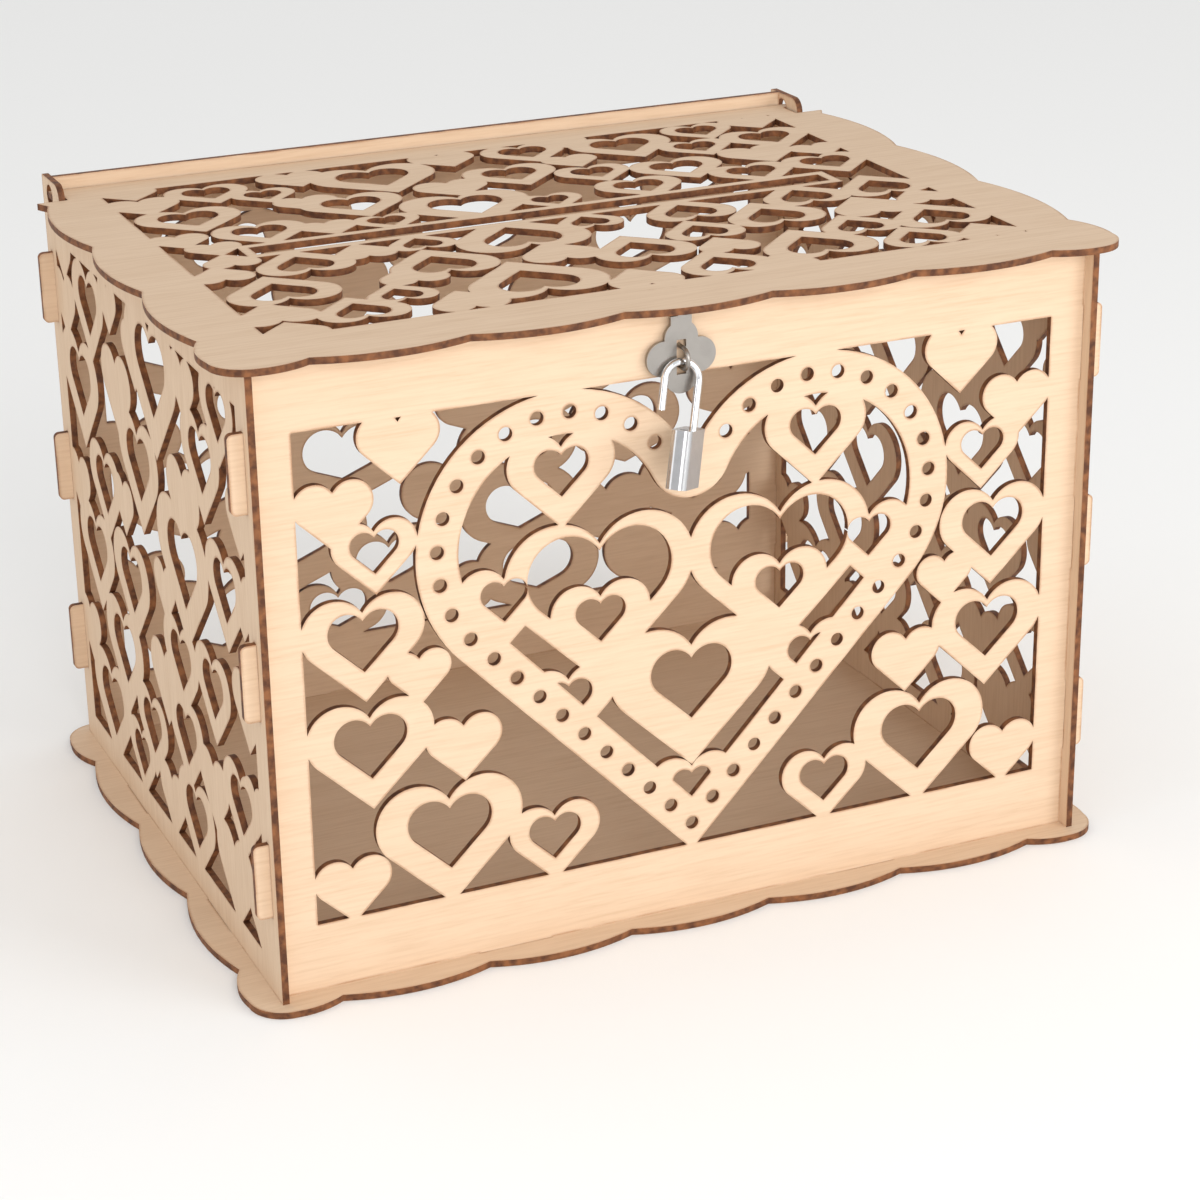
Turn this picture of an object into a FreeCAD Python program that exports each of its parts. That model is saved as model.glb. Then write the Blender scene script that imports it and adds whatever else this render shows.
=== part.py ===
"""Card box of laser-cut plywood: five fretwork panels and a base that slot together, a lid that
turns on its own tongues, a hasp and a small open padlock. Millimetres, +Z up, front towards -Y."""
import FreeCAD, Part
import math
import os
import Sketcher

V = FreeCAD.Vector
Turn = FreeCAD.Rotation
Place = FreeCAD.Placement

doc = FreeCAD.newDocument("card_box")

# Driving sizes
SIZES = {
    "box_width": 285.0,
    "box_depth": 226.0,
    "wall_height": 205.0,
    "ply": 2.2,
    "panel_recess": 4.7,
    "fit_gap": 0.1,
    "tab_length": 25.0,
    "tab_reach": 5.0,
    "tab_round": 1.8,
    "low_tab_height": 43.0,
    "tab_pitch": 66.0,
    "front_foot_spread": 125.0,
    "side_foot_spread": 96.0,
    "front_border_side": 12.0,
    "front_border_top": 22.0,
    "front_border_foot": 22.5,
    "side_border_end": 11.5,
    "side_border_top": 13.5,
    "side_border_foot": 10.5,
    "ear_depth": 22.0,
    "ear_rise": 6.8,
    "ear_round": 5.0,
    "pivot_inset": 9.3,
    "pivot_hole": 7.5,
    "tongue_width": 6.4,
    "lid_play": 0.8,
    "lid_tail": 1.8,
    "ear_gap": 0.6,
    "side_overhang": 5.3,
    "front_overhang": 1.8,
    "scallop_bulge": 4.5,
    "scallop_front_span": 247.0,
    "scallop_side_span": 171.0,
    "plate_corner": 12.0,
    "lid_border_side": 19.5,
    "lid_border_end": 23.0,
    "card_slot_length": 206.0,
    "card_slot_width": 8.8,
    "card_slot_bar": 3.4,
    "heart_band": 13.8,
    "heart_hole": 4.4,
    "hasp_shift": 4.0,
    "hasp_sheet": 1.0,
    "hasp_neck": 7.0,
    "hasp_barrel": 2.6,
    "hasp_pin": 1.2,
    "hasp_plate_depth": 15.0,
    "hasp_plate_width": 14.0,
    "hasp_standoff": 0.9,
    "lobe_radius": 5.6,
    "lobe_spread": 6.0,
    "hasp_drop": 14.6,
    "hasp_slot_width": 3.2,
    "hasp_slot_height": 11.0,
    "staple_wire": 1.5,
    "staple_pitch": 6.4,
    "staple_reach": 6.8,
    "shackle_wire": 2.4,
    "shackle_span": 11.4,
    "case_drop": 14.3,
    "short_leg": 9.5,
    "shackle_sunk": 8.0,
    "case_width": 19.0,
    "case_height": 18.0,
    "case_thick": 6.6,
    "case_round": 2.6,
    "plug_diameter": 5.0,
    "plug_length": 6.0,
    "running_gap": 0.08,
}
sheet = doc.addObject("Spreadsheet::Sheet", "sizes")
for row, (alias, number) in enumerate(SIZES.items(), 1):
    sheet.set(f"A{row}", alias)
    sheet.set(f"B{row}", str(number))
    sheet.setAlias(f"B{row}", alias)
doc.recompute()


def size(alias):
    return float(getattr(sheet, alias))


ply = size("ply")
half_w = size("box_width") / 2
half_d = size("box_depth") / 2
inner_w = half_w - ply
wall_top = ply + size("wall_height")
ear_top = wall_top + size("ear_rise")
front_face = -half_d + size("panel_recess")
back_face = half_d - size("panel_recess")
pivot_y = half_d - size("pivot_inset")
pivot_z = wall_top + ply / 2
fit = size("fit_gap")
tab_half = size("tab_length") / 2
tab_heights = [size("low_tab_height") + i * size("tab_pitch") for i in range(3)]
nodes = []


def keep(label, thing):
    """Give a finished sub-part its label and list it for writing."""
    thing.Label = label
    nodes.append(thing)
    return thing


def solid_feature(label, shape, placement=None):
    feature = doc.addObject("Part::Feature", label)
    feature.Shape = shape
    if placement is not None:
        feature.Placement = placement
    return feature


# Flat outlines in a panel's own plane
def point(xy):
    return V(xy[0], xy[1], 0)


def rounded_face(corners):
    """A face from corners (x, y, radius); a radius rounds a square corner."""
    edges = []
    last = None
    first = None
    count = len(corners)
    for i, (x, y, radius) in enumerate(corners):
        here = V(x, y, 0)
        before = V(*corners[i - 1][:2], 0)
        after = V(*corners[(i + 1) % count][:2], 0)
        into = (here - before).normalize()
        out = (after - here).normalize()
        start = here - into * radius
        end = here + out * radius
        if last is not None:
            edges.append(Part.LineSegment(last, start).toShape())
        else:
            first = start
        if radius > 0:
            middle = here + (out - into) * radius * (1 - math.sqrt(0.5))
            edges.append(Part.Arc(start, middle, end).toShape())
        last = end
    edges.append(Part.LineSegment(last, first).toShape())
    return Part.Face(Part.Wire(edges))


def rectangle(x0, y0, x1, y1):
    return rounded_face([(x0, y0, 0), (x1, y0, 0), (x1, y1, 0), (x0, y1, 0)])


def disc(x, y, radius):
    return Part.Face(Part.Wire(Part.makeCircle(radius, V(x, y, 0))))


LOBE_SHARE = 0.27
HEART_TALL = 0.86


def heart(x, tip, width, height):
    """A heart face: two lobe arcs and two straight flanks that meet at the tip."""
    radius = LOBE_SHARE * width
    aside = width / 2 - radius
    deep = height - radius
    level = tip + deep
    cleft = V(x, level + math.sqrt(radius**2 - aside**2), 0)
    reach = math.hypot(aside, deep)
    turn = math.atan2(-deep, -aside) + math.acos(radius / reach)
    edges = []
    touch = {}
    for side in (1, -1):
        centre = V(x + side * aside, level, 0)
        touch[side] = centre + V(side * radius * math.cos(turn), radius * math.sin(turn), 0)
        crown = centre + V(side * radius * math.cos(math.pi / 4), radius * math.sin(math.pi / 4), 0)
        edges.append((cleft, crown, touch[side]))
    end = V(x, tip, 0)
    right = Part.Arc(*edges[0]).toShape()
    left = Part.Arc(edges[1][2], edges[1][1], edges[1][0]).toShape()
    flanks = [Part.LineSegment(touch[1], end).toShape(), Part.LineSegment(end, touch[-1]).toShape()]
    return Part.Face(Part.Wire([right, *flanks, left]))


RING_HOLE = 0.57


class Lattice:
    """Hearts laid out in pattern units and stretched to fill a window."""

    def __init__(self, window, pattern):
        self.x0, self.y0, self.x1, self.y1 = window
        self.sx = (self.x1 - self.x0) / pattern[0]
        self.sy = (self.y1 - self.y0) / pattern[1]
        self.faces = []
        self.holes = []

    def solid(self, across, down, width, flip=False):
        x = self.x0 + across * self.sx
        tall = HEART_TALL * width * self.sy
        y = self.y1 - down * self.sy
        shape = heart(x, y, width * self.sx, tall)
        if flip:
            middle = (self.y0 + self.y1) / 2
            shape = shape.mirror(V(0, middle, 0), V(0, 1, 0))
        return shape

    def add_solid(self, *spot, flip=False):
        self.faces.append(self.solid(*spot, flip=flip))

    def add_ring(self, across, down, width, flip=False, share=RING_HOLE):
        wall = (1 - share) / 2 * width
        self.faces.append(self.solid(across, down, width, flip=flip))
        self.holes.append(self.solid(across, down - 1.15 * wall, share * width, flip=flip))


def sheet_of(faces):
    """Flat faces cut from the plywood sheet, one solid each."""
    return [face.extrude(V(0, 0, ply)) for face in faces]


def one_piece(shape, what):
    solids = shape.Solids
    if len(solids) != 1:
        spots = [(round(s.Volume, 1), [round(c, 1) for c in s.CenterOfMass]) for s in solids]
        raise RuntimeError(f"{what} falls into {len(solids)} pieces: {spots}")
    return solids[0]


def fretwork(blank, window, lattice, extra=(), cuts=()):
    """The blank with its window opened, the hearts joined in and their middles cut out."""
    field = blank.cut(sheet_of([rectangle(*window)]))
    joined = field.fuse(sheet_of([*lattice.faces, *extra])).removeSplitter()
    return one_piece(joined.cut(sheet_of([*lattice.holes, *cuts])), "fretwork")


def mirrored(spots, width):
    """The spots and their mirror images across the middle of a pattern."""
    return [*spots, *[(width - across, down, wide) for across, down, wide in spots]]


# Where each panel's own plane stands in the box: panel x and y become these
FRONT_TURN = Turn(V(1, 0, 0), 90)
SIDE_TURN = Turn(V(1, 1, 1), 120)


def upright_outline(half, top_corners, foot_spread):
    """A wall outline with side tabs and foot tabs, counter-clockwise from the foot's left end."""
    foot = [(-half, ply, 0)]
    for middle in (-foot_spread / 2, foot_spread / 2):
        foot += [(middle - tab_half, ply, 0), (middle - tab_half, 0, 0)]
        foot += [(middle + tab_half, 0, 0), (middle + tab_half, ply, 0)]
    foot.append((half, ply, 0))
    return foot, top_corners


def tabbed_wall(top):
    """Front or back wall blank, whose tabs pass out through the side panels."""
    tip = half_w + size("tab_reach")
    round_off = size("tab_round")
    foot, _ = upright_outline(inner_w, [], size("front_foot_spread"))
    right = []
    for z in tab_heights:
        right += [(inner_w, z - tab_half, 0), (tip, z - tab_half, round_off)]
        right += [(tip, z + tab_half, round_off), (inner_w, z + tab_half, 0)]
    left = [(-x, z, r) for x, z, r in reversed(right)]
    crown = [(inner_w, top, 0), (-inner_w, top, 0)]
    return rounded_face([*foot, *right, *crown, *left])


# Base plate and lid share one scalloped outline
plate_x = half_w + size("side_overhang")
plate_y = half_d + size("front_overhang")
bulge = size("scallop_bulge")


def scallop_run(start, end, count, out):
    """Arcs that bulge outward between evenly spaced cusps."""
    step = (end - start) * (1 / count)
    arcs = []
    for i in range(count):
        a = start + step * i
        b = a + step
        arcs.append(Part.Arc(a, (a + b) * 0.5 + out * bulge, b).toShape())
    return arcs


def corner_lobe(side_cusp, front_cusp, sx, sy):
    """A broad lobe round one corner, from a side cusp to a front or rear cusp."""
    r = size("plate_corner")
    out_x = plate_x + bulge * 0.8
    out_y = plate_y + bulge * 0.8
    a = V(sx * out_x, sy * (out_y - r), 0)
    b = V(sx * (out_x - r), sy * out_y, 0)
    knee = r * (1 - math.sqrt(0.5))
    middle = V(sx * (out_x - knee), sy * (out_y - knee), 0)
    side_mid = (side_cusp + a) * 0.5 + V(sx * bulge * 0.45, 0, 0)
    front_mid = (front_cusp + b) * 0.5 + V(0, sy * bulge * 0.3, 0)
    return [(side_cusp, side_mid, a), (a, middle, b), (b, front_mid, front_cusp)]


FRONT_SCALLOPS = 5
SIDE_SCALLOPS = 3


def scalloped_face():
    fx = size("scallop_front_span") / 2
    sy = size("scallop_side_span") / 2
    edges = scallop_run(V(-fx, -plate_y, 0), V(fx, -plate_y, 0), FRONT_SCALLOPS, V(0, -1, 0))
    edges += [Part.Arc(c, m, a).toShape() for a, m, c in
              reversed(corner_lobe(V(plate_x, -sy, 0), V(fx, -plate_y, 0), 1, -1))]
    edges += scallop_run(V(plate_x, -sy, 0), V(plate_x, sy, 0), SIDE_SCALLOPS, V(1, 0, 0))
    edges += [Part.Arc(*arc).toShape() for arc in
              corner_lobe(V(plate_x, sy, 0), V(fx, plate_y, 0), 1, 1)]
    edges += scallop_run(V(fx, plate_y, 0), V(-fx, plate_y, 0), FRONT_SCALLOPS, V(0, 1, 0))
    edges += [Part.Arc(c, m, a).toShape() for a, m, c in
              reversed(corner_lobe(V(-plate_x, sy, 0), V(-fx, plate_y, 0), -1, 1))]
    edges += scallop_run(V(-plate_x, sy, 0), V(-plate_x, -sy, 0), SIDE_SCALLOPS, V(-1, 0, 0))
    edges += [Part.Arc(*arc).toShape() for arc in
              corner_lobe(V(-plate_x, -sy, 0), V(-fx, -plate_y, 0), -1, -1)]
    return Part.Face(Part.Wire(edges))


def base_plate():
    """The scalloped floor, with a slot for each foot tab."""
    slots = []
    for middle in (-size("front_foot_spread") / 2, size("front_foot_spread") / 2):
        for y0 in (front_face, back_face - ply):
            slots.append(rectangle(middle - tab_half - fit, y0 - fit, middle + tab_half + fit, y0 + ply + fit))
    for middle in (-size("side_foot_spread") / 2, size("side_foot_spread") / 2):
        for x0 in (-half_w, inner_w):
            slots.append(rectangle(x0 - fit, middle - tab_half - fit, x0 + ply + fit, middle + tab_half + fit))
    return one_piece(sheet_of([scalloped_face()])[0].cut(sheet_of(slots)), "base plate")


keep("base_plate", solid_feature("base_plate", base_plate()))

# Front panel: big dotted heart in a field of small hearts, mirrored about the middle
FRONT_PATTERN = (272.0, 169.0)
FRONT_SOLIDS = [(35, 22, 28), (12.5, 41, 27), (53.5, 128, 27), (13, 171, 27), (39, 98, 22)]
FRONT_RINGS = [(25.5, 57.5, 29), (20.4, 93.5, 42), (21.3, 131.5, 44), (47.5, 171.5, 52), (85, 171.5, 33)]


def band_heart(half, top, tip, inset):
    """The big heart's outline, moved inward by inset; the cleft rounds as it moves in."""
    level = top - BIG_RADIUS * half
    radius = BIG_RADIUS * half - inset
    aside = half * (1 - BIG_RADIUS)
    cleft_rise = math.sqrt((BIG_RADIUS * half) ** 2 - aside**2)
    deep = level - tip
    reach = math.hypot(aside, deep)
    turn = math.atan2(-deep, -aside) + math.acos(BIG_RADIUS * half / reach)
    slant = math.pi / 2 + turn
    end = V(0, tip + inset / math.sin(slant) if inset else tip, 0)
    arcs = []
    lean = math.atan2(cleft_rise, -aside)
    for side in (1, -1):
        centre = V(side * aside, level, 0)

        def on(angle, c=centre, s=side):
            return c + V(s * radius * math.cos(angle), radius * math.sin(angle), 0)

        arcs.append((on(lean), on((lean + turn) / 2), on(turn)))
    return arcs, end, V(0, level + cleft_rise, 0)


BIG_RADIUS = 0.526


def big_heart_face(half, top, tip, inset):
    arcs, end, cleft = band_heart(half, top, tip, inset)
    right, left = arcs
    edges = [Part.Arc(*right).toShape()]
    edges.append(Part.LineSegment(right[2], end).toShape())
    edges.append(Part.LineSegment(end, left[2]).toShape())
    edges.append(Part.Arc(left[2], left[1], left[0]).toShape())
    if inset:
        edges.append(Part.Arc(left[0], cleft - V(0, inset, 0), right[0]).toShape())
    return Part.Face(Part.Wire(edges))


HOLES_EACH_SIDE = 22


def band_holes(half, top, tip, inset):
    """Round holes evenly spaced along the middle of the band, one at the cleft and one at the tip."""
    arcs, end, cleft = band_heart(half, top, tip, inset)
    run = Part.Wire([Part.Arc(*arcs[0]).toShape(), Part.LineSegment(arcs[0][2], end).toShape()])
    spots = run.discretize(Number=HOLES_EACH_SIDE + 2)[1:]
    radius = size("heart_hole") / 2
    holes = [disc(s.x, s.y, radius) for s in spots]
    holes += [disc(-s.x, s.y, radius) for s in spots[:-1]]
    holes.append(disc(0, cleft.y - inset, radius))
    return holes


# Hearts inside the big one: a touching pair with a heart in each, and smaller ones around them
PAIR_APART = 33
INLAY_RINGS = [(67, 84, 33, 0.5), (46, 46, 38, 0.5), (0, 139, 60, 0.5), (0, 163, 32, 0.45), (45, 124, 34, 0.5)]


def front_panel():
    window = (-inner_w + size("front_border_side"), ply + size("front_border_foot"),
              inner_w - size("front_border_side"), wall_top - size("front_border_top"))
    lattice = Lattice(window, FRONT_PATTERN)
    for spot in mirrored(FRONT_SOLIDS, FRONT_PATTERN[0]):
        lattice.add_solid(*spot)
    for spot in mirrored(FRONT_RINGS, FRONT_PATTERN[0]):
        lattice.add_ring(*spot)
    sx, sy = lattice.sx, lattice.sy
    half = 97 * sx
    top = window[3] + 0.5
    tip = window[1] - 2
    band = size("heart_band")
    inner_heart = big_heart_face(half, top, tip, band)
    middle = FRONT_PATTERN[0] / 2
    inlay = Lattice(window, FRONT_PATTERN)
    nested = Lattice(window, FRONT_PATTERN)
    for side in (-1, 1):
        inlay.add_ring(middle + side * PAIR_APART, 103, 68, share=0.76)
        nested.add_ring(middle + side * PAIR_APART, 98, 36, share=0.5)
    inlay.holes = [f for h in inlay.holes for f in h.cut(nested.faces).Faces]
    for across, down, wide, share in INLAY_RINGS:
        for side in (-1, 1):
            if across or side > 0:
                inlay.add_ring(middle + side * across, down, wide, share=share)
    for side in (-1, 1):
        inlay.add_solid(middle + side * 24, 158, 26)
    inlay.holes = [f for h in [*inlay.holes, *nested.holes] for f in h.common(inner_heart).Faces]
    hollow = Part.Compound(sheet_of(inner_heart.cut(inlay.faces).Faces))
    outer = big_heart_face(half, top, tip, 0)
    notch = rectangle(-size("hasp_plate_width") / 2 - 0.5 - size("hasp_shift"), wall_top - size("hasp_sheet") - 0.4,
                      size("hasp_plate_width") / 2 + 0.5 - size("hasp_shift"), wall_top + 1)
    staple = [disc(-size("hasp_shift"), staple_z + s * size("staple_pitch") / 2, size("staple_wire") / 2 + 0.05)
              for s in (-1, 1)]
    cuts = [*inlay.holes, *band_holes(half, top, tip, band / 2), notch, *staple]
    lattice.holes = [f for h in lattice.holes for f in h.cut(outer).Faces]
    field = fretwork(sheet_of([tabbed_wall(wall_top)])[0], window, lattice, [outer], cuts)
    return one_piece(field.cut(hollow), "front panel")


hasp_x = -size("hasp_shift")
barrel_y = front_face - size("hasp_barrel") / 2 - 0.3
barrel_z = wall_top - size("hasp_barrel") / 2 - 0.05
staple_z = barrel_z - size("hasp_drop")
front_place = Place(V(0, front_face + ply, 0), FRONT_TURN)
keep("front_panel", solid_feature("front_panel", front_panel(), front_place))

# Back panel: hearts all over, and a rail that rises between the ears
FIELD_PATTERN = (219.0, 191.0)
FIELD_RINGS = [
    (42, 36, 42), (122, 48, 62), (198, 27, 36), (176, 53, 43), (22, 74, 50), (97, 83, 50), (146, 108, 60),
    (195, 91, 42), (47, 102, 42), (27, 137, 48), (75, 132, 47), (135, 138, 42), (173, 133, 40), (57, 167, 50),
    (135, 166, 42), (198, 165, 40), (32, 199, 52), (89, 180, 40), (71, 195, 34), (141, 196, 44),
]
FIELD_SOLIDS = [
    (186, 195, 42), (110, 195, 32), (212, 120, 32), (74, 55, 38), (8, 36, 30), (152, 72, 38), (112, 150, 36),
    (6, 165, 30), (214, 80, 28), (166, 168, 34), (8, 106, 30), (72, 92, 26), (120, 108, 26), (215, 195, 30),
    (100, 30, 28), (160, 24, 28), (215, 52, 26), (10, 14, 24), (70, 18, 24), (214, 150, 24),
]


def field_lattice(window):
    lattice = Lattice(window, FIELD_PATTERN)
    for spot in FIELD_RINGS:
        lattice.add_ring(*spot)
    for spot in FIELD_SOLIDS:
        lattice.add_solid(*spot)
    return lattice


def back_panel():
    window = (-inner_w + size("front_border_side"), ply + size("front_border_foot"),
              inner_w - size("front_border_side"), wall_top - size("side_border_top"))
    return fretwork(sheet_of([tabbed_wall(ear_top)])[0], window, field_lattice(window))


keep("back_panel", solid_feature("back_panel", back_panel(), Place(V(0, back_face, 0), FRONT_TURN)))


# Side panels: fretwork walls with an ear that holds the lid's pivot
def side_panel():
    foot, _ = upright_outline(half_d, [], size("side_foot_spread"))
    ear_front = half_d - size("ear_depth")
    crown = [(half_d, ear_top, 0.8), (ear_front, ear_top, size("ear_round")), (ear_front, wall_top, 0),
             (-half_d, wall_top, 0)]
    window = (-half_d + size("side_border_end"), ply + size("side_border_foot"),
              half_d - size("side_border_end"), wall_top - size("side_border_top"))
    slots = [disc(pivot_y, pivot_z, size("pivot_hole") / 2)]
    for z in tab_heights:
        for y0 in (front_face, back_face - ply):
            slots.append(rectangle(y0 - fit, z - tab_half - fit, y0 + ply + fit, z + tab_half + fit))
    lattice = field_lattice(window)
    turned = V(0, 0, 0), V(1, 0, 0)
    lattice.faces = [f.mirror(*turned) for f in lattice.faces]
    lattice.holes = [f.mirror(*turned) for f in lattice.holes]
    return fretwork(sheet_of([rounded_face([*foot, *crown])])[0], window, lattice, (), slots)


side_shape = side_panel()
keep("left_side_panel", solid_feature("left_side_panel", side_shape, Place(V(-half_w, 0, 0), SIDE_TURN)))
keep("right_side_panel", solid_feature("right_side_panel", side_shape.copy(), Place(V(inner_w, 0, 0), SIDE_TURN)))

# Lid: scalloped plate, hearts on both sides of the card slot, tongues that turn in the ears
LID_PATTERN = (270.0, 194.0)
LID_RINGS = [
    (36, 31, 31), (98, 46, 48), (161.5, 28, 33), (199, 39, 41), (234.5, 25, 29), (53.5, 39, 24), (20, 66, 38),
    (144.5, 58, 36), (223, 48, 29), (253.5, 50, 36), (78, 73, 38), (172.5, 66, 29), (203.5, 77, 36), (37, 92, 34),
    (114, 98, 48), (81, 93, 24), (143, 93, 24), (179.5, 94, 33), (225, 94, 33), (256, 94, 34),
]
LID_SOLIDS = [
    (10, 36, 28), (64, 56, 24), (118, 62, 28), (172, 42, 22), (239, 68, 30), (262, 68, 22), (8, 84, 22), (60, 90, 22),
    (10, 14, 22), (70, 22, 26), (130, 20, 26), (180, 14, 22), (258.5, 18, 24), (16, 98, 20),
]


def lid_panel():
    gap = size("ear_gap")
    notch_y = half_d - size("ear_depth") - gap
    between = inner_w - size("lid_play")
    tail = pivot_y + size("lid_tail")
    keep_front = rectangle(-plate_x - 3 * bulge, -plate_y - 3 * bulge, plate_x + 3 * bulge, notch_y)
    blank = sheet_of([scalloped_face()])[0].common(sheet_of([keep_front])[0])
    neck = rectangle(-between, notch_y - 1, between, tail)
    tongue_half = size("tongue_width") / 2
    tongue = rectangle(-half_w, pivot_y - tongue_half, half_w, pivot_y + min(tongue_half, size("lid_tail")))
    blank = blank.fuse(sheet_of([neck, tongue])).removeSplitter()
    window = (-plate_x + size("lid_border_side"), -plate_y + size("lid_border_end"),
              plate_x - size("lid_border_side"), plate_y - size("lid_border_end"))
    lattice = Lattice(window, LID_PATTERN)
    for flip in (False, True):
        for spot in LID_RINGS:
            lattice.add_ring(*spot, flip=flip)
        for spot in LID_SOLIDS:
            lattice.add_solid(*spot, flip=flip)
    long_half = size("card_slot_length") / 2
    wide_half = size("card_slot_width") / 2
    bar = size("card_slot_bar")
    surround = rectangle(-long_half - bar, -wide_half - bar, long_half + bar, wide_half + bar)
    slot = rectangle(-long_half, -wide_half, long_half, wide_half)
    lattice.holes = [f for h in lattice.holes for f in h.cut(surround).Faces]
    return fretwork(blank, window, lattice, [surround], [slot])


keep("lid_panel", solid_feature("lid_panel", lid_panel(), Place(V(0, 0, wall_top), Turn())))


def bar(radius, length, start, along):
    return Part.makeCylinder(radius, length, start, along)


def block(x0, y0, z0, x1, y1, z1):
    return Part.makeBox(x1 - x0, y1 - y0, z1 - z0, V(x0, y0, z0))


# Hasp: plate screwed under the lid, pin, and a hanging leaf with a slot for the staple
barrel = size("hasp_barrel") / 2
pin_hole = size("hasp_pin") / 2 + size("running_gap")
plate_half = size("hasp_plate_width") / 2
neck_half = size("hasp_neck") / 2
middle_half = neck_half / 3
sheet_half = size("hasp_sheet") / 2
plate_low = wall_top - 0.8
plate_back = front_face + size("hasp_plate_depth")
screw_spots = [V(hasp_x + s * plate_half * 0.55, plate_back - 4, 0) for s in (-1, 1)]
plate = block(hasp_x - plate_half, front_face - 0.1, plate_low, hasp_x + plate_half, plate_back, wall_top)
for s in (-1, 1):
    inner, outer = sorted([hasp_x + s * (middle_half + 0.15), hasp_x + s * neck_half])
    plate = plate.fuse(block(inner, barrel_y, plate_low, outer, front_face, wall_top))
    plate = plate.fuse(bar(barrel, outer - inner, V(inner, barrel_y, barrel_z), V(1, 0, 0)))
plate = plate.cut(bar(pin_hole, 4 * neck_half, V(hasp_x - 2 * neck_half, barrel_y, barrel_z), V(1, 0, 0)))
screws = []
for spot in screw_spots:
    head = Part.makeCone(1.5, 0.8, 0.7, V(spot.x, spot.y, plate_low), V(0, 0, 1))
    shank = bar(0.8, ply * 0.75 + 0.8, V(spot.x, spot.y, plate_low), V(0, 0, 1))
    screws.append(head.fuse(shank).removeSplitter())
plate = plate.cut(screws).removeSplitter()
keep("hasp_plate", solid_feature("hasp_plate", one_piece(plate, "hasp plate")))
keep("hasp_screws", solid_feature("hasp_screws", Part.Compound(screws)))
lid = doc.getObject("lid_panel")
lid.Shape = lid.Shape.cut(screws)

pin = doc.addObject("Part::Cylinder", "hasp_pin")
pin.setExpression("Radius", "sizes.hasp_pin / 2")
pin.setExpression("Height", "sizes.hasp_neck + 0.4")
pin.Placement = Place(V(hasp_x - neck_half - 0.2, barrel_y, barrel_z), Turn(V(0, 1, 0), 90))
keep("hasp_pin", pin)

lobe = size("lobe_radius")
spread = size("lobe_spread")
leaf_flat = [disc(hasp_x + dx * spread, staple_z + dz * spread, lobe)
             for dx, dz in ((1, 0), (-1, 0), (0, 1), (0, -1))]
leaf_flat.append(rectangle(hasp_x - neck_half, staple_z, hasp_x + neck_half, barrel_z - barrel - 0.3))
leaf_flat.append(rectangle(hasp_x - middle_half, staple_z, hasp_x + middle_half, barrel_z))
leaf_cut = rectangle(hasp_x - size("hasp_slot_width") / 2, staple_z - size("hasp_slot_height") / 2,
                     hasp_x + size("hasp_slot_width") / 2, staple_z + size("hasp_slot_height") / 2)
leaf_parts = [f.extrude(V(0, 0, 2 * sheet_half)) for f in leaf_flat]
leaf = leaf_parts[0].fuse(leaf_parts[1:]).cut(leaf_cut.extrude(V(0, 0, 2 * sheet_half)))
leaf.Placement = Place(V(0, barrel_y + sheet_half, 0), FRONT_TURN)
leaf = leaf.fuse(bar(barrel, 2 * middle_half, V(hasp_x - middle_half, barrel_y, barrel_z), V(1, 0, 0)))
leaf = leaf.cut(bar(pin_hole, 4 * neck_half, V(hasp_x - 2 * neck_half, barrel_y, barrel_z), V(1, 0, 0)))
keep("hasp_leaf", solid_feature("hasp_leaf", one_piece(leaf.removeSplitter(), "hasp leaf")))

# Staple: a bent wire whose legs are pushed through the front panel
wire = size("staple_wire") / 2
leg = size("staple_pitch") / 2
bend_y = front_face - size("staple_reach") + leg
staple = Part.makeTorus(leg, wire, V(hasp_x, bend_y, staple_z), V(1, 0, 0))
staple = staple.common(block(hasp_x - 2, bend_y - 9, staple_z - 9, hasp_x + 2, bend_y, staple_z + 9))
for s in (-1, 1):
    staple = staple.fuse(bar(wire, front_face + ply - bend_y, V(hasp_x, bend_y, staple_z + s * leg), V(0, 1, 0)))
keep("staple", solid_feature("staple", one_piece(staple.removeSplitter(), "staple")))

# Padlock: drawn upright about the middle of its shackle's arch, then hung on the staple
rod = size("shackle_wire") / 2
arch = size("shackle_span") / 2
hang = Turn(V(1, 0, 0), -10).multiply(Turn(V(0, 1, 0), 12))
leaf_front = barrel_y - sheet_half
top_of_arch = V(hasp_x, leaf_front - 0.35 - rod, staple_z - leg + wire + rod + 0.3)
hung = Place(top_of_arch - hang.multVec(V(0, 0, arch)), hang)
drop = size("case_drop")
half_case = size("case_width") / 2
half_thick = size("case_thick") / 2
case_foot = -drop - size("case_height")
long_end = -drop - size("shackle_sunk")
shackle = Part.makeTorus(arch, rod, V(0, 0, 0), V(0, 1, 0)).common(block(-20, -5, 0, 20, 5, 20))
shackle = shackle.fuse(bar(rod, -long_end, V(arch, 0, long_end), V(0, 0, 1)))
shackle = shackle.fuse(bar(rod, size("short_leg"), V(-arch, 0, -size("short_leg")), V(0, 0, 1)))
keep("padlock_shackle", solid_feature("padlock_shackle", one_piece(shackle.removeSplitter(), "shackle"), hung))

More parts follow.
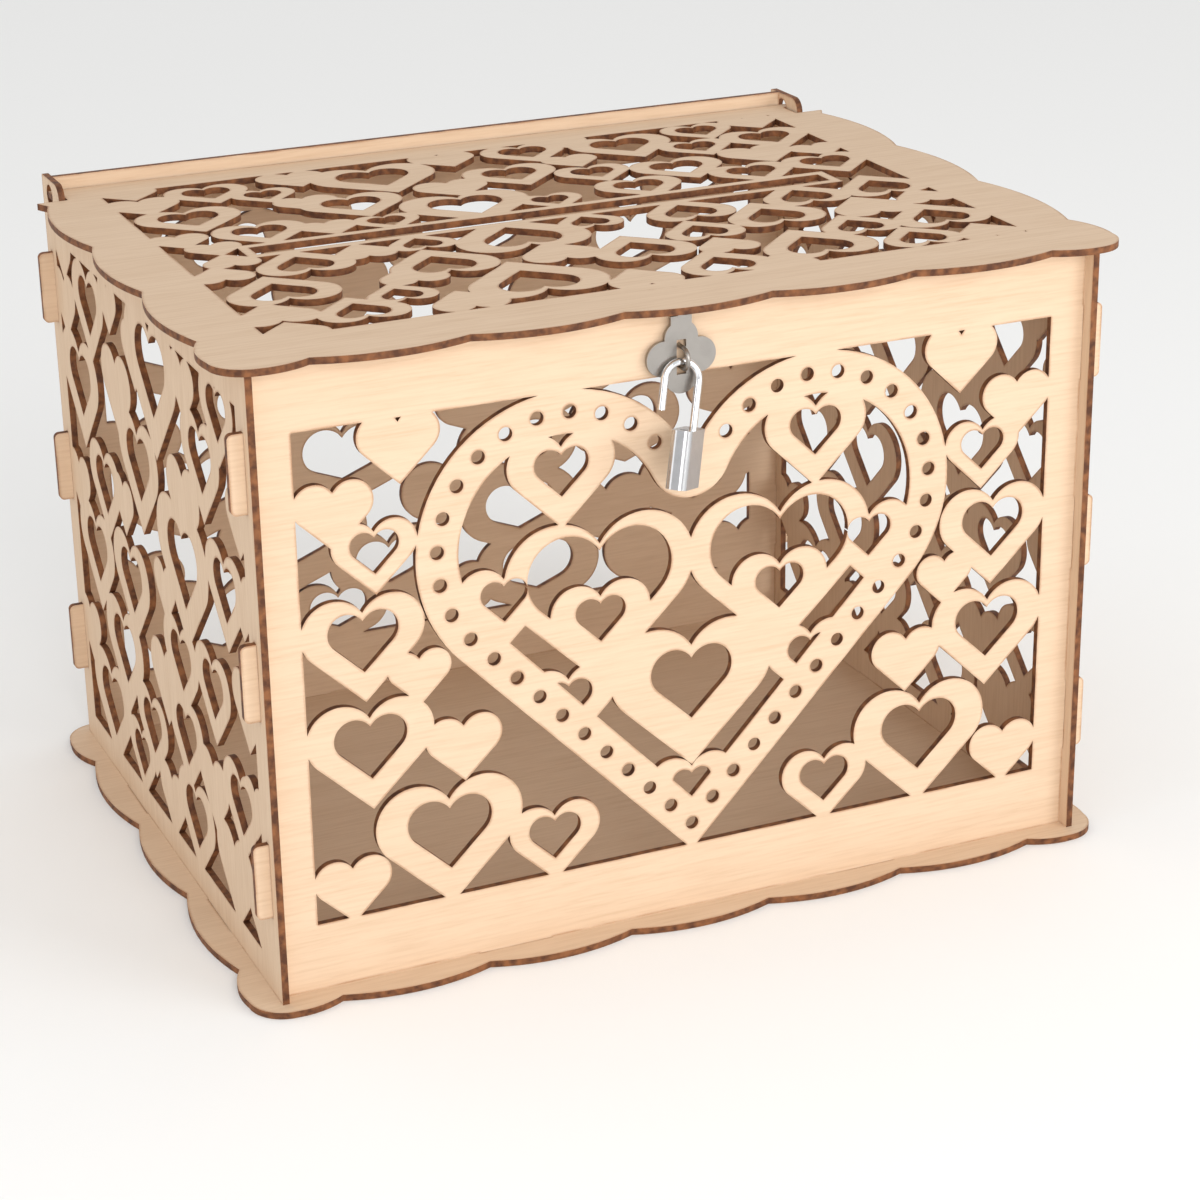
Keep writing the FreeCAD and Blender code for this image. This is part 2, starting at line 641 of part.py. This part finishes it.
turned = hung.multiply(Place(V(arch, 0, 0), Turn(V(0, 0, 1), 50))).multiply(Place(V(-arch, 0, 0), Turn()))
case = block(-half_case, -half_thick, case_foot, half_case, half_thick, -drop)
case = case.makeFillet(size("case_round"), [e for e in case.Edges if abs(e.Vertexes[0].Z - e.Vertexes[1].Z) > 1])
bore = rod + size("running_gap")
for x in (-arch, arch):
    case = case.cut(bar(bore, size("shackle_sunk") + 1, V(x, 0, long_end - 1), V(0, 0, 1)))
plug_radius = size("plug_diameter") / 2
plug_room = bar(plug_radius + size("running_gap"), size("plug_length") + 0.3, V(0, 0, case_foot), V(0, 0, 1))
keep("padlock_case", solid_feature("padlock_case", one_piece(case.cut(plug_room), "case"), turned))
plug = bar(plug_radius, size("plug_length"), V(0, 0, case_foot), V(0, 0, 1))
plug = plug.cut(block(-0.5, -1.8, case_foot, 0.5, 1.8, case_foot + 4))
keep("padlock_plug", solid_feature("padlock_plug", one_piece(plug, "plug"), turned))

# Nothing is written unless every object is sound
doc.recompute()
for thing in doc.Objects:
    if "Invalid" in thing.State or "Error" in thing.State:
        raise RuntimeError(f"{thing.Label} failed: {thing.State}")
for node in nodes:
    if node.Shape.isNull() or not node.Shape.isValid():
        raise RuntimeError(f"{node.Label} has no valid shape")
os.makedirs("parts", exist_ok=True)
for node in nodes:
    node.Shape.exportStep(f"parts/{node.Label}.step")
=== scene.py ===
import bpy
from bpy.props import FloatProperty, FloatVectorProperty, PointerProperty
from mathutils import Matrix, Vector

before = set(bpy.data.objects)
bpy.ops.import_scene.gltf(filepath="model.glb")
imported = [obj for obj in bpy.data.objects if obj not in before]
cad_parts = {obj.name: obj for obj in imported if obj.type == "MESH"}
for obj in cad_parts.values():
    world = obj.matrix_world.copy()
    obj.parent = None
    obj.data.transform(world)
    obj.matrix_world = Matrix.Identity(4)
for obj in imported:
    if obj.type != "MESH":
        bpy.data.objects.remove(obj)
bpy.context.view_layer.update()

bl_info = {
    "name": "Fretwork card box",
    "version": (1, 0, 0),
    "blender": (4, 5, 0),
    "location": "View3D > Sidebar > Card Box",
    "description": "Finishes and stages a laser-cut plywood card box with a hasp and padlock",
    "category": "Object",
}

# Which way each panel's sawn faces look, the way its grain runs, and a gain that scales its face colour as
# painted light and shade: the front kept brightest, the lid and sides darkened as if lit from the front
PANELS = {
    "base_plate": ((0, 0, 1), (6, 110, 110), 0.94),
    "lid_panel": ((0, 0, 1), (6, 110, 110), 0.93),
    "front_panel": ((0, 1, 0), (6, 110, 110), 1.0),
    "back_panel": ((0, 1, 0), (6, 110, 110), 0.97),
    "left_side_panel": ((1, 0, 0), (110, 110, 6), 0.92),
    "right_side_panel": ((1, 0, 0), (110, 110, 6), 0.92),
}
SOFTENED = (("padlock_case", 0.0005), ("hasp_leaf", 0.0002))
FLOOR_REACH = 6.0
FLOOR_DROP = 0.0002
BOX_MIDDLE = (0, 0, 0.1)
# Each light's name, place, side length and share of the key power
LIGHTS = (
    ("key light", (-0.3, -1.6, 0.75), 0.9, 1.0),
    ("fill light", (1.1, -1.4, 0.6), 1.0, 0.9),
    ("side light", (-1.5, -0.1, 0.5), 0.9, 0.22),
)
CAMERA_SPOT = (-0.3793, -0.9002, 0.4692)
CAMERA_RIGHT = (0.91298, -0.40775, -0.01475)
CAMERA_AHEAD = (0.37240, 0.84750, -0.37823)
SENSOR_WIDTH = 36.0
NICKEL_PIECES = ("hasp_plate", "hasp_screws", "hasp_pin", "hasp_leaf", "staple")


class WoodLook(bpy.types.PropertyGroup):
    face: FloatVectorProperty(name="Face", description="Colour of the sanded face", subtype="COLOR",
                              size=3, default=(0.74, 0.55, 0.385), min=0, max=1)
    grain: FloatVectorProperty(name="Grain", description="Colour of the darker grain lines", subtype="COLOR",
                               size=3, default=(0.60, 0.41, 0.26), min=0, max=1)
    burn: FloatVectorProperty(name="Burnt edge", description="Darkest colour of the laser-cut edge",
                              subtype="COLOR", size=3, default=(0.085, 0.030, 0.013), min=0, max=1)
    ember: FloatVectorProperty(name="Toasted edge", description="Lighter colour of the laser-cut edge",
                               subtype="COLOR", size=3, default=(0.25, 0.095, 0.034), min=0, max=1)
    halo: FloatProperty(name="Scorch width", description="How far the scorch runs in from a cut",
                        default=0.0016, min=0.0001, max=0.004, unit="LENGTH")


class MetalLook(bpy.types.PropertyGroup):
    nickel: FloatVectorProperty(name="Nickel", description="Colour of the hasp and staple", subtype="COLOR",
                                size=3, default=(0.36, 0.335, 0.31), min=0, max=1)
    chrome: FloatVectorProperty(name="Chrome", description="Colour of the shackle", subtype="COLOR",
                                size=3, default=(0.82, 0.83, 0.85), min=0, max=1)
    case: FloatVectorProperty(name="Case", description="Colour of the padlock's case", subtype="COLOR",
                              size=3, default=(0.56, 0.56, 0.57), min=0, max=1)
    brass: FloatVectorProperty(name="Plug", description="Colour of the key plug", subtype="COLOR",
                               size=3, default=(0.68, 0.50, 0.22), min=0, max=1)


class StageLook(bpy.types.PropertyGroup):
    lens: FloatProperty(name="Lens", description="Focal length of the camera", default=90.5, min=20, max=300)
    key: FloatProperty(name="Key light", description="Power of the large light", default=11.5, min=0, max=500,
                       unit="POWER")
    sky: FloatProperty(name="Surround", description="Strength of the white surround", default=0.80, min=0, max=5)
    floor: FloatVectorProperty(name="Floor", description="Colour of the pale floor", subtype="COLOR",
                               size=3, default=(0.93, 0.93, 0.92), min=0, max=1)


class CardBoxLook(bpy.types.PropertyGroup):
    wood: PointerProperty(type=WoodLook)
    metal: PointerProperty(type=MetalLook)
    stage: PointerProperty(type=StageLook)


class Graph:
    """A material's node tree, with short ways to add and join its nodes."""

    def __init__(self, name):
        self.material = bpy.data.materials.new(name)
        self.material.use_nodes = True
        self.tree = self.material.node_tree
        self.shader = self.tree.nodes["Principled BSDF"]

    def add(self, kind, sockets=None, **settings):
        node = self.tree.nodes.new(kind)
        for key, value in settings.items():
            setattr(node, key, value)
        for key, value in (sockets or {}).items():
            self.put(node.inputs[key], value)
        return node

    def put(self, socket, value):
        if isinstance(value, bpy.types.NodeSocket):
            self.tree.links.new(value, socket)
        else:
            socket.default_value = value

    def math(self, operation, first, second=0.0):
        return self.add("ShaderNodeMath", {0: first, 1: second}, operation=operation).outputs[0]

    def ramp(self, value, low, high):
        node = self.add("ShaderNodeMapRange", {"Value": value, "From Min": low, "From Max": high})
        return node.outputs["Result"]

    def mix(self, share, first, second):
        node = self.add("ShaderNodeMix", data_type="RGBA")
        self.put(node.inputs[0], share)
        self.put(node.inputs[6], first)
        self.put(node.inputs[7], second)
        return node.outputs[2]

    def noise(self, vector, scale, detail=4.0):
        node = self.add("ShaderNodeTexNoise", {"Vector": vector, "Scale": scale, "Detail": detail})
        return node.outputs["Fac"]

    def local_normal(self, normal):
        node = self.add("ShaderNodeVectorTransform", {0: normal}, vector_type="NORMAL",
                        convert_from="WORLD", convert_to="OBJECT")
        return node.outputs[0]

    def dot(self, first, second):
        node = self.add("ShaderNodeVectorMath", {0: first, 1: second}, operation="DOT_PRODUCT")
        return node.outputs["Value"]


def rgba(colour, gain=1.0):
    return (*[min(1.0, c * gain) for c in colour], 1.0)


def plywood(name, face_axis, grain_scale, gain, look):
    """Cream faces with fine grain, and laser-burnt edges with a scorch that fades into the face."""
    g = Graph(name)
    place = g.add("ShaderNodeTexCoord").outputs["Object"]
    normal = g.add("ShaderNodeNewGeometry").outputs["True Normal"]
    stretched = g.add("ShaderNodeMapping", {"Vector": place, "Scale": grain_scale}).outputs[0]
    fine = g.noise(stretched, 9.0, 6.0)
    broad = g.noise(stretched, 1.1, 3.0)
    pores = g.ramp(g.noise(stretched, 30.0, 2.0), 0.60, 0.72)
    lines = g.math("MULTIPLY", g.ramp(fine, 0.42, 0.72), 0.42)
    tone = g.math("ADD", lines, g.math("MULTIPLY", g.ramp(broad, 0.35, 0.75), 0.22))
    tone = g.math("ADD", tone, g.math("MULTIPLY", pores, 0.22))
    # gain is painted light and shade per panel: it darkens the lid and sides and keeps the front brightest
    face = g.mix(tone, rgba(look.face, gain), rgba(look.grain, gain))
    mottle = g.ramp(g.noise(place, 330.0, 5.0), 0.36, 0.66)
    edge = g.mix(mottle, rgba(look.burn), rgba(look.ember))
    plain = g.math("ABSOLUTE", g.dot(g.local_normal(normal), face_axis))
    is_face = g.math("GREATER_THAN", plain, 0.7)
    soft = g.add("ShaderNodeBevel", {"Radius": look.halo}, samples=6).outputs[0]
    bent = g.ramp(g.dot(soft, normal), 0.999, 0.86)
    patchy = g.math("MULTIPLY", bent, g.ramp(g.noise(place, 90.0, 3.0), 0.25, 0.62))
    scorched = g.mix(g.math("MULTIPLY", patchy, 0.8), face, rgba(look.ember, 1.25))
    g.put(g.shader.inputs["Base Color"], g.mix(is_face, edge, scorched))
    g.put(g.shader.inputs["Roughness"], g.math("ADD", 0.52, g.math("MULTIPLY", fine, 0.2)))
    g.shader.inputs["Specular IOR Level"].default_value = 0.28
    bump = g.add("ShaderNodeBump", {"Strength": 0.12, "Distance": 0.0003, "Height": fine})
    g.put(g.shader.inputs["Normal"], bump.outputs[0])
    return g.material


def metal(name, colour, rough, brushed, grainy_axis=None):
    """Plated metal with brush lines, faint wear, and a grainy texture on flat faces where asked."""
    g = Graph(name)
    place = g.add("ShaderNodeTexCoord").outputs["Object"]
    stretched = g.add("ShaderNodeMapping", {"Vector": place, "Scale": (300, 300, 4000)}).outputs[0]
    lines = g.noise(stretched, 1.0, 3.0)
    smudge = g.ramp(g.noise(place, 240.0, 4.0), 0.4, 0.75)
    g.put(g.shader.inputs["Base Color"], g.mix(g.math("MULTIPLY", smudge, 0.3), rgba(colour), rgba(colour, 0.7)))
    g.shader.inputs["Metallic"].default_value = 1.0
    varied = g.math("ADD", rough, g.math("MULTIPLY", lines, brushed))
    height, strength = lines, 0.1 * brushed
    if grainy_axis is not None:
        normal = g.add("ShaderNodeNewGeometry").outputs["True Normal"]
        flat = g.math("ABSOLUTE", g.dot(g.local_normal(normal), grainy_axis))
        flat = g.math("GREATER_THAN", flat, 0.97)
        height = g.math("MULTIPLY", g.noise(place, 1500.0, 3.0), flat)
        varied = g.math("ADD", varied, g.math("MULTIPLY", flat, 0.28))
        strength = 0.5
    g.put(g.shader.inputs["Roughness"], varied)
    bump = g.add("ShaderNodeBump", {"Strength": strength, "Distance": 0.0003, "Height": height})
    g.put(g.shader.inputs["Normal"], bump.outputs[0])
    return g.material


def paint(node, material):
    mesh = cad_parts[node].data
    for i in range(max(1, len(mesh.materials))):
        if i < len(mesh.materials):
            mesh.materials[i] = material
        else:
            mesh.materials.append(material)


def face_normal_of_case():
    """The direction of the case's broad faces, read from its largest flat facets."""
    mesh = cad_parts["padlock_case"].data
    widest = max(mesh.polygons, key=lambda p: p.area if abs(p.normal.z) < 0.6 else 0.0)
    return tuple(widest.normal)


class CARDBOX_OT_finish_wood(bpy.types.Operator):
    """Give every plywood panel its grain and burnt edges"""
    bl_idname = "cardbox.finish_wood"
    bl_label = "Finish plywood"

    def execute(self, context):
        look = context.scene.card_box.wood
        for node, (axis, grain, gain) in PANELS.items():
            paint(node, plywood(f"plywood of {node}", axis, grain, gain, look))
        return {"FINISHED"}


class CARDBOX_OT_finish_metal(bpy.types.Operator):
    """Plate the hasp, the staple and the padlock"""
    bl_idname = "cardbox.finish_metal"
    bl_label = "Finish metal"

    def execute(self, context):
        look = context.scene.card_box.metal
        nickel = metal("satin nickel", look.nickel, 0.22, 0.25)
        for node in NICKEL_PIECES:
            paint(node, nickel)
        paint("padlock_shackle", metal("polished chrome", look.chrome, 0.06, 0.05))
        paint("padlock_case", metal("plated case", look.case, 0.14, 0.1, face_normal_of_case()))
        paint("padlock_plug", metal("plug brass", look.brass, 0.25, 0.15))
        for node, width in SOFTENED:
            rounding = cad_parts[node].modifiers.new("softened edges", "BEVEL")
            rounding.width = width
            rounding.segments = 2
            rounding.limit_method = "ANGLE"
        return {"FINISHED"}


def area_light(name, spot, aim, side, power):
    data = bpy.data.lights.new(name, "AREA")
    data.size = side
    data.energy = power
    lamp = bpy.data.objects.new(name, data)
    lamp.location = spot
    lamp.rotation_euler = (Vector(aim) - Vector(spot)).to_track_quat("-Z", "Y").to_euler()
    bpy.context.scene.collection.objects.link(lamp)


class CARDBOX_OT_set_stage(bpy.types.Operator):
    """Lay the pale floor, light it softly and place the camera"""
    bl_idname = "cardbox.set_stage"
    bl_label = "Set stage"

    def execute(self, context):
        look = context.scene.card_box.stage
        mesh = bpy.data.meshes.new("floor")
        far = FLOOR_REACH
        mesh.from_pydata([(-far, -far, 0), (far, -far, 0), (far, far, 0), (-far, far, 0)], [], [(0, 1, 2, 3)])
        floor = bpy.data.objects.new("floor", mesh)
        floor.location.z = -FLOOR_DROP
        context.scene.collection.objects.link(floor)
        g = Graph("pale floor")
        g.shader.inputs["Base Color"].default_value = rgba(look.floor)
        g.shader.inputs["Roughness"].default_value = 0.85
        mesh.materials.append(g.material)
        world = bpy.data.worlds.new("white surround")
        world.use_nodes = True
        world.node_tree.nodes["Background"].inputs["Color"].default_value = (1, 1, 1, 1)
        world.node_tree.nodes["Background"].inputs["Strength"].default_value = look.sky
        context.scene.world = world
        for name, spot, side, share in LIGHTS:
            area_light(name, spot, BOX_MIDDLE, side, look.key * share)
        data = bpy.data.cameras.new("camera")
        data.lens = look.lens
        data.sensor_width = SENSOR_WIDTH
        camera = bpy.data.objects.new("camera", data)
        right = Vector(CAMERA_RIGHT)
        ahead = Vector(CAMERA_AHEAD)
        turn = Matrix((right, right.cross(ahead), -ahead)).transposed().to_4x4()
        camera.matrix_world = Matrix.Translation(CAMERA_SPOT) @ turn
        context.scene.collection.objects.link(camera)
        context.scene.camera = camera
        context.scene.view_settings.view_transform = "Standard"
        return {"FINISHED"}


class CARDBOX_PT_panel(bpy.types.Panel):
    """Sizes and colours of the card box"""
    bl_idname = "CARDBOX_PT_panel"
    bl_label = "Card Box"
    bl_space_type = "VIEW_3D"
    bl_region_type = "UI"
    bl_category = "Card Box"

    def draw(self, context):
        look = context.scene.card_box
        for group, step in ((look.wood, "finish_wood"), (look.metal, "finish_metal"), (look.stage, "set_stage")):
            column = self.layout.column(align=True)
            for key in group.__annotations__:
                column.prop(group, key)
            column.operator(f"cardbox.{step}")


CLASSES = (WoodLook, MetalLook, StageLook, CardBoxLook, CARDBOX_OT_finish_wood, CARDBOX_OT_finish_metal,
           CARDBOX_OT_set_stage, CARDBOX_PT_panel)


def register():
    for cls in CLASSES:
        bpy.utils.register_class(cls)
    bpy.types.Scene.card_box = PointerProperty(type=CardBoxLook)


def unregister():
    del bpy.types.Scene.card_box
    for cls in reversed(CLASSES):
        bpy.utils.unregister_class(cls)


def main():
    register()
    bpy.ops.cardbox.finish_wood()
    bpy.ops.cardbox.finish_metal()
    bpy.ops.cardbox.set_stage()


if __name__ == "__main__":
    main()
